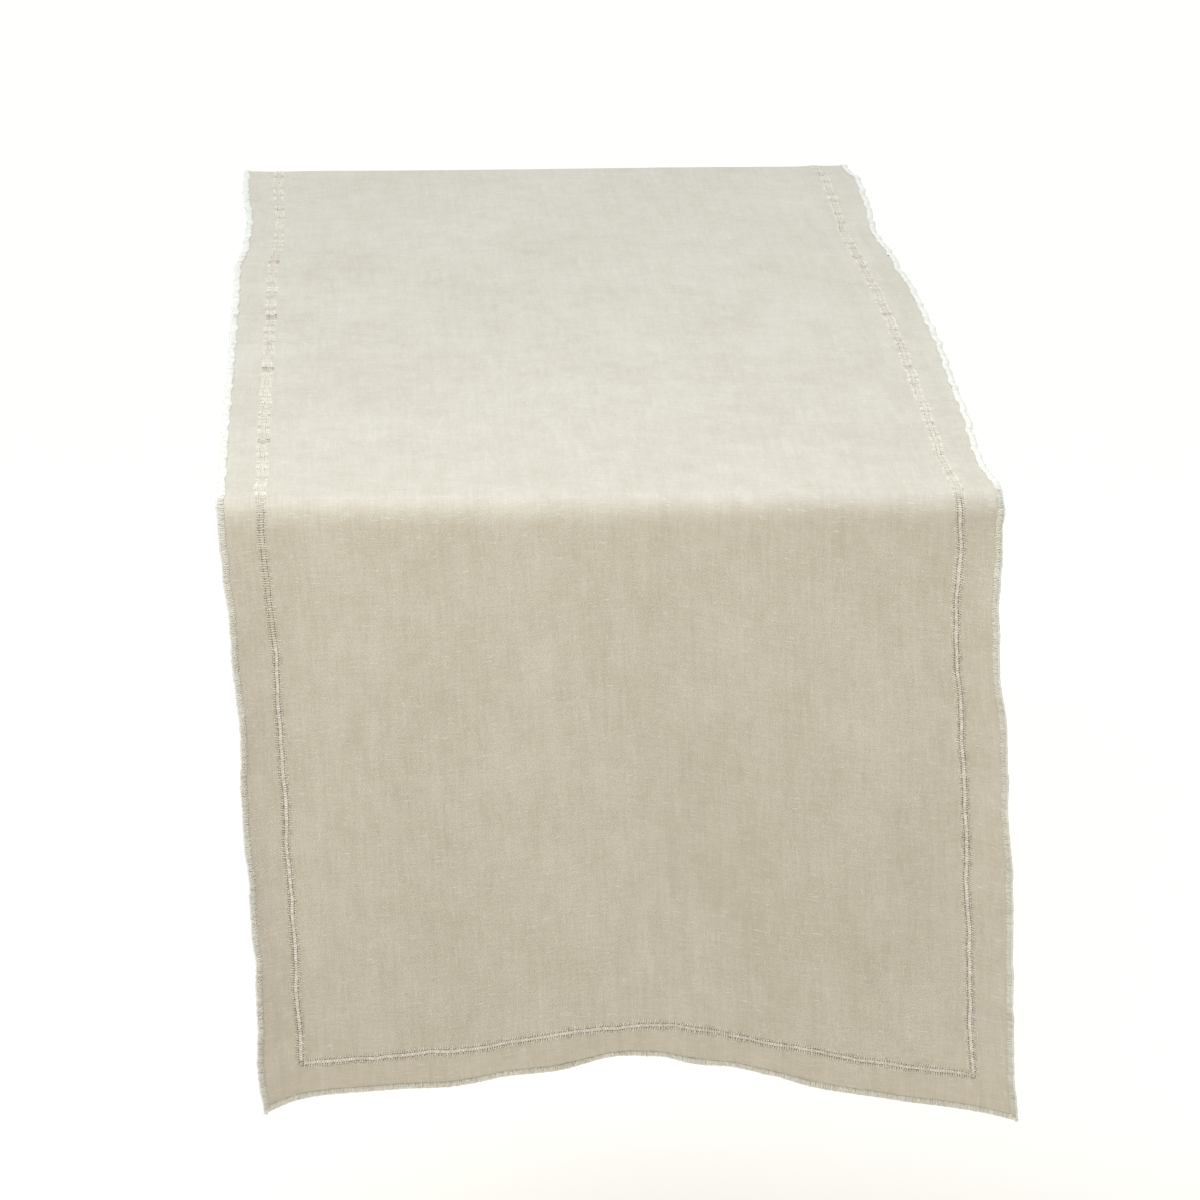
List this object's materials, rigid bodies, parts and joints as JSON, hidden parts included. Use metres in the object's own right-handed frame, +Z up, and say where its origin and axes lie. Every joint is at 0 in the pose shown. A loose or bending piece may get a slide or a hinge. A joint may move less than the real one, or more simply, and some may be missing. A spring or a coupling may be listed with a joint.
{
  "type": "table runner",
  "caption": "Single-ply natural linen table runner with a drawn-thread ladder hemstitch inside overlocked edges, laid across a table with both ends hanging",
  "frame": {"origin": "middle of the flat underside that rests on the table top", "axes": "+X along the table's front edge, +Y from the front hanging end to the back one, +Z up"},
  "size_m": [0.4197, 0.9305, 0.3616],
  "materials": {
    "linen_weave": "matte stonewashed plain weave with slubs",
    "hemstitch_thread": "matte linen thread",
    "edging_thread": "soft fluffed overlock thread"
  },
  "bodies": {
    "root": {"linen_cloth": "linen_weave", "ladder_bars_left": "linen_weave", "hemstitch_left_outer": "hemstitch_thread", "hemstitch_left_inner": "hemstitch_thread", "ladder_bars_right": "linen_weave", "hemstitch_right_outer": "hemstitch_thread", "hemstitch_right_inner": "hemstitch_thread", "ladder_bars_front": "linen_weave", "hemstitch_front_outer": "hemstitch_thread", "hemstitch_front_inner": "hemstitch_thread", "ladder_bars_back": "linen_weave", "hemstitch_back_outer": "hemstitch_thread", "hemstitch_back_inner": "hemstitch_thread", "edging_left": "edging_thread", "edging_right": "edging_thread", "edging_front": "edging_thread", "edging_back": "edging_thread", "edging_tail_front_left": "edging_thread", "edging_tail_front_right": "edging_thread", "edging_tail_back_left": "edging_thread", "edging_tail_back_right": "edging_thread"}
  },
  "joints": []
}
